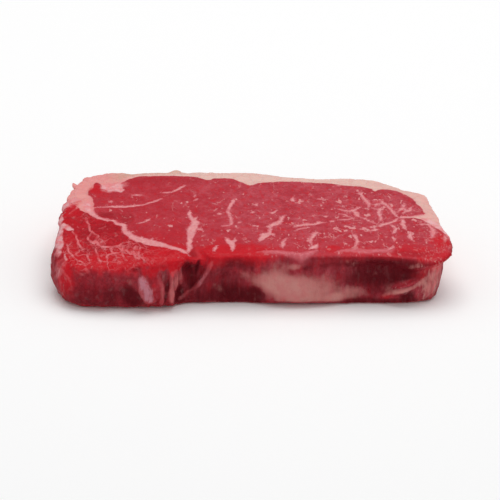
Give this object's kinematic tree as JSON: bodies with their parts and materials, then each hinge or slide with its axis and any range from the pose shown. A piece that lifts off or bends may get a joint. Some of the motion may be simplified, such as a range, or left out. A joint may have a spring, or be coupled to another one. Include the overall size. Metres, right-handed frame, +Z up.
{
  "type": "raw sirloin steak",
  "caption": "Raw strip sirloin steak: a long rounded slab with a fat cap along the back edge, a soft lobe at the wide end and torn muscle, fat pad and hollows along the front.",
  "frame": {"origin": "middle of the bounding box, at the lower cut face that the steak rests on", "axes": "+X along the steak towards its narrower end, +Y towards the fat cap, +Z up through the thickness"},
  "size_m": [0.18, 0.0996, 0.0264],
  "materials": {
    "raw_meat": "wet raw beef: bright red lean with pale marbling and a cream-pink fat cap"
  },
  "bodies": {
    "root": {"steak": "raw_meat"}
  },
  "joints": []
}
